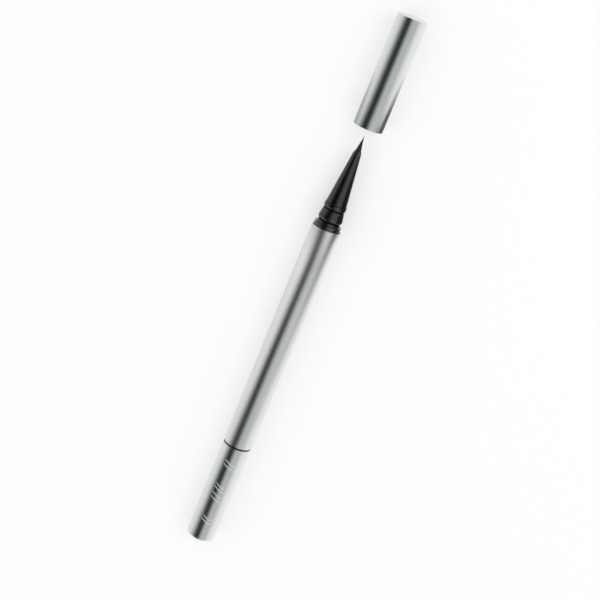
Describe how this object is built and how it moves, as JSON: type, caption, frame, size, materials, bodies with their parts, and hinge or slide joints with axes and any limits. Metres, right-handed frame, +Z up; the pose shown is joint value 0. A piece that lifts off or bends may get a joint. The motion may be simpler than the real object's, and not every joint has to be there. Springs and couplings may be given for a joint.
{
  "type": "double-ended eyebrow pen",
  "caption": "Slim silver double-ended eyebrow pen: a fine-nibbed liquid pen with its cap pulled off at one end, a capped twist-up pencil at the other.",
  "frame": {"origin": "centre of the pencil cap's flat end face, on the pen's axis", "axes": "+X along the pen from the pencil cap towards the nib, +Z up as the pen lies"},
  "size_m": [0.1745, 0.009, 0.009],
  "materials": {
    "silver_aluminium": "satin anodised silver",
    "black_plastic": "semi-gloss black moulded plastic",
    "white_plastic": "natural white moulded plastic",
    "ink_fibre": "bonded fibre soaked with dark ink",
    "film": "thin clear film",
    "brow_lead": "matte brown wax lead",
    "ring_rubber": "soft grey rubber"
  },
  "bodies": {
    "barrel": {"barrel_tube": "silver_aluminium", "nose_cone": "black_plastic", "nib": "ink_fibre", "nib_holder": "white_plastic", "ink_feed": "ink_fibre", "ink_chamber": "white_plastic", "ink_reservoir": "ink_fibre", "reservoir_wrap": "film", "chamber_plug": "white_plastic", "pencil_bush": "black_plastic", "spiral_sleeve": "white_plastic"},
    "nib_cap": {"nib_cap_shell": "silver_aluminium", "nib_cap_liner": "white_plastic", "nib_cap_seal": "white_plastic"},
    "pencil_cap": {"pencil_cap_shell": "silver_aluminium", "pencil_cap_liner": "white_plastic"},
    "pencil_twister": {"pencil_nose": "black_plastic", "guide_tube": "white_plastic", "friction_ring": "ring_rubber"},
    "lead_slide": {"lead_carrier": "white_plastic", "pencil_lead": "brow_lead"}
  },
  "joints": [
    {"name": "nib_cap_pull", "type": "slide", "parent": "barrel", "child": "nib_cap", "axis": [1, 0, 0], "range_m": [-0.0319, 0]},
    {"name": "pencil_cap_pull", "type": "slide", "parent": "barrel", "child": "pencil_cap", "axis": [-1, 0, 0], "range_m": [0, 0.034]},
    {"name": "pencil_twist", "type": "hinge", "parent": "barrel", "child": "pencil_twister", "pos_m": [0.02975, 0, 0], "axis": [-1, 0, 0], "range_deg": [0, 900]},
    {"name": "lead_advance", "type": "slide", "parent": "pencil_twister", "child": "lead_slide", "axis": [-1, 0, 0], "range_m": [0, 0.015]}
  ],
  "couplings": [
    {"joint": "pencil_twist", "follows": "lead_advance", "rad_per_m": 1047.2}
  ]
}
